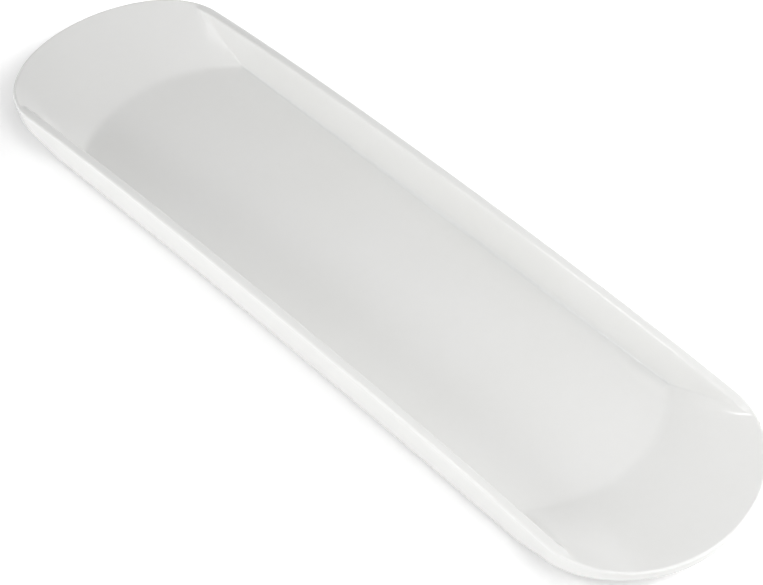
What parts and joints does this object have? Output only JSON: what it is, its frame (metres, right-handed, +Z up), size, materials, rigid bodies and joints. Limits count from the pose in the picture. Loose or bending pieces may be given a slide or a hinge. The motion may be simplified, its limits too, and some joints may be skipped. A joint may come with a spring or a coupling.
{
  "type": "asparagus plate",
  "caption": "Long narrow white porcelain plate with two steep arched side walls and gently rising rounded ends, on a low foot ring.",
  "frame": {"origin": "on the table under the middle of the plate, in the plane of the foot ring's flat face", "axes": "+X along the plate's length, +Y across it, +Z up out of the dish"},
  "size_m": [0.4, 0.1078, 0.0236],
  "materials": {
    "white_glaze": "glossy"
  },
  "bodies": {
    "root": {"plate": "white_glaze"}
  },
  "joints": []
}
